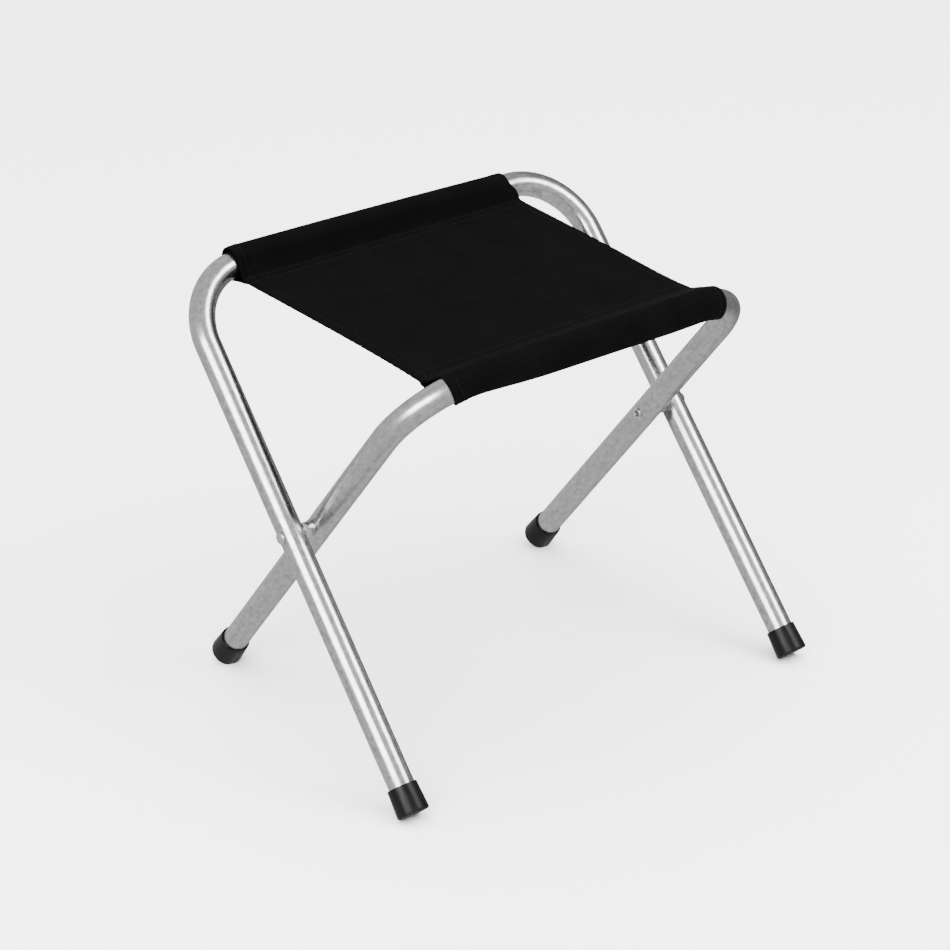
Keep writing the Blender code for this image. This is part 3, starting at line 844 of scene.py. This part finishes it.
def stitching(name, half, rows, grid, normal, across, length):
    """Every stitch of one half of the seat, on both faces of the cloth, with its blend weights."""
    points, faces, weight, grain = [], [], [], []
    shape = stitch_shape()
    sides = len(shape[0])
    last_row, last_column = len(rows) - 1.001, grid.shape[1] - 1.001

    def corner(values, r, c, fr, fc):
        near = values[r, c] * (1 - fc) + values[r, c + 1] * fc
        far = values[r + 1, c] * (1 - fc) + values[r + 1, c + 1] * fc
        return near * (1 - fr) + far * fr

    def place(far, x, across_cloth=False, face=1.0):
        """A stitch at a distance along the cloth and a place across it, on its outer or inner face."""
        row = min(max(float(np.interp(far, length, np.arange(len(length)))), 0.0), last_row)
        column = min(max(float(np.interp(x, across, np.arange(len(across)))), 0.0), last_column)
        r, c = int(row), int(column)
        at = corner(grid, r, c, row - r, column - c)
        up = corner(normal, r, c, row - r, column - c)
        up = up / np.linalg.norm(up) * face
        along_row = grid[r + 1, c] - grid[r, c]
        run = grid[r, c + 1] - grid[r, c] if across_cloth else along_row
        run = run - (run @ up) * up
        run /= np.linalg.norm(run)
        other = np.cross(up, run)
        (kind, index), (next_kind, next_index) = rows[r], rows[r + 1]
        step = next_index - index
        if next_kind == kind:
            index += (row - r) * step
        spacing = np.linalg.norm(along_row)
        on_grid = not across_cloth and kind != "ring" and abs(step) < 50 and spacing > 1e-9
        per_metre = step / spacing if on_grid else 0.0
        offset = STITCH_OVER if face > 0 else STITCH_UNDER
        first = len(points)
        for ring in shape:
            for x, y, z in ring:
                points.append(at + run * x + other * y + up * (offset + z))
                weight.append(float(row_weight(half, kind, index + x * per_metre, face * (offset + z))))
                grain.append((x, y, z))
        ends = range(first, len(points), sides)
        for one, two in zip(ends, ends[1:]):
            faces.extend(ring_faces(one, two, sides))
        faces.append(tuple(range(first, first + sides)))
        faces.append(tuple(reversed(range(ends[-1], ends[-1] + sides))))

    is_main = [kind == "main" for kind, _ in rows]
    first_main = is_main.index(True)
    places = [index for _, index in rows[first_main:]]
    seam_far = float(np.interp(half.seam_index(), places, length[first_main:]))
    # two rows that close the sleeve, through the panel and the flap
    for off in SEAM_ROWS:
        for x in np.arange(across[0] + 0.0020, across[-1] - 0.0018, STITCH_PITCH):
            place(seam_far + off, x, across_cloth=True)
    for off in SEAM_ROWS:
        for x in np.arange(across[0] + 0.0038, across[-1] - 0.0018, STITCH_PITCH):
            place(length[0] + FLAP - off, x, across_cloth=True)
    # one row down each side hem, on both faces of the panel and the outside of the sleeve
    for x in (across[0] + HEM_STITCH, across[-1] - HEM_STITCH):
        for far in np.arange(length[0] + FLAP + 0.004, length[-1] - STITCH_CLEAR, STITCH_PITCH):
            place(far, x)
        for far in np.arange(seam_far + FLAP + 0.003, length[-1] - STITCH_CLEAR, STITCH_PITCH):
            place(far, x, face=-1.0)
    made = add_mesh(name, points, faces, sharp=70.0)
    vector_attribute(made.data, "grain", grain)
    return made, np.array(weight)


# ---- materials ----


class Nodes:
    """Short ways to add nodes to the tree of a material or a world."""

    def __init__(self, owner):
        owner.use_nodes = True
        self.tree = owner.node_tree

    def node(self, kind, inputs=None, **settings):
        made = self.tree.nodes.new(kind)
        for key, value in settings.items():
            setattr(made, key, value)
        for key, value in (inputs or {}).items():
            made.inputs[key].default_value = value
        return made

    def link(self, output, target):
        self.tree.links.new(output, target)

    def parts(self, source):
        made = self.node("ShaderNodeSeparateXYZ")
        self.link(source, made.inputs["Vector"])
        return made.outputs

    def ramp(self, value, low, high, to_low, to_high):
        """value mapped from low..high to to_low..to_high, held at the ends."""
        made = self.node("ShaderNodeMapRange", {
            "From Min": low, "From Max": high, "To Min": to_low, "To Max": to_high})
        self.link(value, made.inputs["Value"])
        return made.outputs["Result"]

    def math(self, operation, one, two=None):
        made = self.node("ShaderNodeMath", operation=operation)
        for socket, value in zip(made.inputs, (one, two)):
            if isinstance(value, (int, float)):
                socket.default_value = value
            elif value is not None:
                self.link(value, socket)
        return made.outputs["Value"]

    def add(self, one, two):
        return self.math("ADD", one, two)

    def times(self, one, two):
        return self.math("MULTIPLY", one, two)


class Look(Nodes):
    """A Principled material."""

    def __init__(self, name, colour, roughness, metallic=0.0, **more):
        self.material = bpy.data.materials.new(name)
        super().__init__(self.material)
        self.shader = self.tree.nodes["Principled BSDF"]
        self.shader.inputs["Base Color"].default_value = (*colour, 1.0)
        self.shader.inputs["Roughness"].default_value = roughness
        self.shader.inputs["Metallic"].default_value = metallic
        for word, value in more.items():
            self.shader.inputs[word.replace("_", " ")].default_value = value
        self.grain = self.node("ShaderNodeAttribute", attribute_name="grain").outputs["Vector"]

    def noise(self, scale, detail=3.0, roughness=0.55):
        """Noise over the piece's own grain coordinates, with a scale for each of their axes."""
        place = self.node("ShaderNodeMapping", {"Scale": scale})
        self.link(self.grain, place.inputs["Vector"])
        made = self.node("ShaderNodeTexNoise", {"Scale": 1.0, "Detail": detail, "Roughness": roughness})
        self.link(place.outputs["Vector"], made.inputs["Vector"])
        return made.outputs["Fac"]

    def paint(self, value, stops):
        """The base colour as a ramp over `value`."""
        made = self.node("ShaderNodeValToRGB")
        for element, (place, colour) in zip(made.color_ramp.elements, stops[:2]):
            element.position = place
            element.color = (*colour, 1.0)
        for place, colour in stops[2:]:
            made.color_ramp.elements.new(place).color = (*colour, 1.0)
        self.link(value, made.inputs["Fac"])
        self.link(made.outputs["Color"], self.shader.inputs["Base Color"])

    def rough(self, value):
        self.link(value, self.shader.inputs["Roughness"])

    def bump(self, height, strength, distance):
        made = self.node("ShaderNodeBump", {"Strength": strength, "Distance": distance})
        self.link(height, made.inputs["Height"])
        self.link(made.outputs["Normal"], self.shader.inputs["Normal"])


def drawn_metal(name, light, dark, roughness, lines=1.0):
    """Bright drawn tube: fine lines along it, soft blotches, a few scuffs."""
    look = Look(name, light, roughness, 1.0)
    fine = look.noise((2600.0, 2600.0, 26.0), 2.0)
    blotch = look.noise((240.0, 240.0, 190.0), 5.0, 0.66)
    scuff = look.noise((900.0, 900.0, 190.0), 3.0, 0.7)
    look.paint(look.add(look.times(fine, 0.22), look.times(blotch, 0.78)), [(0.34, dark), (0.62, light)])
    look.rough(look.add(look.ramp(fine, 0.3, 0.7, roughness - 0.03, roughness + 0.05),
                        look.ramp(scuff, 0.62, 0.80, 0.0, 0.22)))
    look.bump(look.add(look.times(fine, lines), look.times(scuff, 0.5)), 0.16, 0.00003)
    return look.material


def turned_metal(name, light, dark, roughness):
    """Small plated part: faint blotches and rubbed spots."""
    look = Look(name, light, roughness, 1.0)
    blotch = look.noise((700.0, 700.0, 700.0), 4.0, 0.6)
    fine = look.noise((300.0, 300.0, 5200.0), 2.0)
    look.paint(blotch, [(0.34, dark), (0.62, light)])
    look.rough(look.ramp(blotch, 0.3, 0.7, roughness - 0.05, roughness + 0.12))
    look.bump(look.add(fine, blotch), 0.12, 0.00003)
    return look.material


def moulded(name):
    """Charcoal moulded cap with a satin skin, a fine moulded grain and a scuffed foot."""
    look = Look(name, (0.003, 0.003, 0.0035), 0.34, Specular_IOR_Level=0.17)
    grain = look.noise((1900.0, 1900.0, 1900.0), 3.0)
    flow = look.noise((330.0, 330.0, 60.0), 3.0)
    height = look.add(look.parts(look.grain)["Z"], look.times(grain, 0.002))
    worn = look.ramp(height, 0.0006, 0.0030, 1.0, 0.0)
    look.paint(look.add(look.times(flow, 0.5), look.times(worn, 0.5)), [
        (0.15, (0.0015, 0.0015, 0.0018)), (0.45, (0.0034, 0.0034, 0.0038)), (0.85, (0.020, 0.020, 0.019))])
    look.rough(look.add(look.ramp(flow, 0.3, 0.7, 0.30, 0.44), look.times(worn, 0.28)))
    look.bump(look.add(grain, look.times(flow, 1.5)), 0.22, 0.00006)
    return look.material


def black_fabric(name):
    return Look(name, (0.0020, 0.0020, 0.0022), 0.92, Specular_IOR_Level=0.03, Sheen_Weight=0.002,
                Sheen_Roughness=0.4)


def sewing_thread(name):
    """Black twisted thread."""
    look = black_fabric(name)
    twist = look.noise((1400.0, 5200.0, 5200.0), 2.0)
    look.paint(twist, [(0.3, (0.0020, 0.0020, 0.0023)), (0.7, (0.0068, 0.0068, 0.0074))])
    look.rough(look.ramp(twist, 0.3, 0.7, 0.62, 0.80))
    look.bump(twist, 0.4, 0.00008)
    return look.material


def woven(name, pitch=0.00062):
    """Black plain-woven polyester; `pitch` is the distance between threads."""
    look = black_fabric(name)
    parts = look.parts(look.grain)
    warp = look.math("SINE", look.times(parts["X"], pi / pitch))
    weft = look.math("SINE", look.times(parts["Y"], pi / pitch))
    over = look.times(warp, weft)
    fuzz = look.noise((3000.0, 3000.0, 1.0), 3.0, 0.65)
    drift = look.noise((38.0, 26.0, 1.0), 4.0, 0.6)
    slub = look.noise((60.0, 1600.0, 1.0), 2.0)
    shade = look.add(look.times(look.add(over, 1.0), 0.16),
                     look.add(look.times(drift, 0.45), look.times(slub, 0.25)))
    look.paint(shade, [(0.25, (0.0004, 0.0004, 0.0005)), (0.75, (0.0019, 0.0019, 0.0021))])
    look.rough(look.ramp(shade, 0.25, 0.75, 0.84, 0.97))
    look.bump(look.add(look.times(over, 0.5), look.times(fuzz, 0.8)), 0.35, 0.00016)
    return look.material


# ---- the pieces ----


def finish_piece(made, look, body, node):
    made.data.materials.clear()
    made.data.materials.append(look)
    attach(made, body)
    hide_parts(node)


TUBE_LIGHT = (0.60, 0.60, 0.61)
TUBE_DARK = (0.35, 0.35, 0.36)
outer_look = drawn_metal("outer_tube_metal", TUBE_LIGHT, TUBE_DARK, 0.235)
inner_look = drawn_metal("inner_tube_metal", TUBE_LIGHT, TUBE_DARK, 0.28, lines=1.4)
rivet_look = turned_metal("rivet_metal", (0.66, 0.66, 0.67), (0.50, 0.50, 0.51), 0.22)
spacer_look = turned_metal("spacer_metal", (0.74, 0.74, 0.75), (0.58, 0.58, 0.59), 0.24)
cap_look = moulded("cap_plastic")
cloth_look = woven("seat_cloth")
thread_look = sewing_thread("seat_thread")

finish_piece(tube("outer_frame_tube_bent", OUTER, DIMPLE_OUTSIDE, DIMPLE_DEPTH), outer_look,
             "outer_frame", "outer_frame_tube")
finish_piece(tube("inner_frame_tube_bent", INNER, DIMPLE_DEPTH, DIMPLE_OUTSIDE), inner_look,
             "inner_frame", "inner_frame_tube")
for word, way in (("left", -1.0), ("right", 1.0)):
    finish_piece(rivet("rivet_" + word, way), rivet_look, "outer_frame", "pivot_rivet_" + word)
    finish_piece(spacer("spacer_" + word, way), spacer_look, "outer_frame", "pivot_spacer_" + word)
    finish_piece(foot_cap("cap_front_" + word, OUTER, way), cap_look, "outer_frame", "foot_cap_front_" + word)
    finish_piece(foot_cap("cap_rear_" + word, INNER, way), cap_look, "inner_frame", "foot_cap_rear_" + word)

for word, half, bodies in (
    ("rear", REAR, ("outer_frame", "rear_fold_strip")),
    ("front", FRONT, ("inner_frame", "front_fold_strip")),
):
    cloth, weight, *laid = cloth_half("seat_cloth_" + word, half)
    thread, thread_weight = stitching("seat_stitching_" + word, half, *laid)
    cloth.data.materials.append(cloth_look)
    thread.data.materials.append(thread_look)
    set_blend(cloth)
    set_blend(thread)
    nodes = ["seat_sleeve_" + word, "seat_panel_" + word, "seat_fold_" + word]
    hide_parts(*nodes)

# ---- the stage ----

FLOOR_SIZE = 7.0
floor_mesh = bpy.data.meshes.new("floor")
floor_mesh.from_pydata(circle(FLOOR_SIZE, 0.0, 128), [], [tuple(range(128))])
floor = add_object("floor", floor_mesh)
floor_look = Look("floor_paper", (0.96, 0.96, 0.96), 0.9, Specular_IOR_Level=0.1)
floor.data.materials.append(floor_look.material)


def backdrop(flat, cove, height, sides=128):
    """A wall all round that curves up out of the floor, seen by the camera only."""
    profile = [(flat + cove * sin(a), cove * (1.0 - cos(a))) for a in np.linspace(0.0, pi / 2, 25)]
    profile += [(flat + cove, h) for h in np.linspace(cove, height, 6)[1:]]
    points, faces = [], []
    for radius, rise in profile:
        points += circle(radius, rise, sides)
    for first in range(0, len(points) - sides, sides):
        faces += ring_faces(first + sides, first, sides)
    mesh = bpy.data.meshes.new("backdrop")
    mesh.from_pydata(points, [], faces)
    mesh.polygons.foreach_set("use_smooth", [True] * len(faces))
    made = add_object("backdrop", mesh)
    made.data.materials.append(floor_look.material)
    made.visible_diffuse = False
    made.visible_glossy = False
    made.visible_shadow = False


backdrop(FLOOR_SIZE, 4.0, 9.0)


def softbox(name, azimuth, elevation, far, width, height, power, roll=0.0):
    light = bpy.data.lights.new(name, "AREA")
    light.shape = "RECTANGLE"
    light.size = width
    light.size_y = height
    light.energy = power
    made = add_object(name, light)
    a, e = radians(azimuth), radians(elevation)
    back = Vector((sin(a) * cos(e), -cos(a) * cos(e), sin(e)))
    made.location = Vector((0.0, 0.0, 0.16)) + back * far
    made.rotation_mode = "QUATERNION"
    made.rotation_quaternion = back.to_track_quat("Z", "Y") @ Quaternion((0.0, 0.0, 1.0), radians(roll))
    made.visible_camera = False
    return made


softbox("key_left", -69.3, 27.5, 2.6, 1.75, 1.15, 92.0, roll=39.0)
softbox("key_right", 35.8, 44.7, 2.6, 1.15, 1.15, 62.0, roll=-23.0)
softbox("overhead", 0.0, 90.0, 6.0, 12.0, 12.0, 3000.0).visible_glossy = False
floor.visible_glossy = False


def studio_world():
    """A pale room, darker below the floor line and on the +X side, for the metal to reflect."""
    made = bpy.data.worlds.new("studio")
    sky = Nodes(made)
    parts = sky.parts(sky.node("ShaderNodeTexCoord").outputs["Generated"])
    shade = sky.tree.nodes["Background"]
    below = sky.ramp(parts["Z"], -0.06, -0.22, 0.86, 0.84)
    side = sky.ramp(parts["X"], 0.35, 0.80, 1.0, 0.33)
    sky.link(sky.times(below, side), shade.inputs["Strength"])
    shade.inputs["Color"].default_value = (1.0, 1.0, 1.0, 1.0)
    return made


bpy.context.scene.world = studio_world()

# ---- the camera ----

AZIMUTH = radians(-39.338)
ELEVATION = radians(26.4273)
ROLL = radians(0.6394)
DISTANCE = 2.2447
TARGET = Vector((-0.0075, 0.0106, 0.1536))
LENS_RATIO = 3084.77 / 950.0    # focal length over the picture's width

camera_data = bpy.data.cameras.new("camera")
camera_data.sensor_width = 36.0
camera_data.lens = 36.0 * LENS_RATIO
camera_data.clip_start = 0.05
camera_data.clip_end = 200.0
camera = add_object("camera", camera_data)
back = Vector((sin(AZIMUTH) * cos(ELEVATION), -cos(AZIMUTH) * cos(ELEVATION), sin(ELEVATION)))
right = Vector((cos(AZIMUTH), sin(AZIMUTH), 0.0))
up = back.cross(right)
rolled_right = right * cos(ROLL) + up * sin(ROLL)
rolled_up = up * cos(ROLL) - right * sin(ROLL)
turn = Matrix((rolled_right, rolled_up, back)).transposed()
camera.matrix_world = Matrix.Translation(TARGET + back * DISTANCE) @ turn.to_4x4()
bpy.context.scene.camera = camera
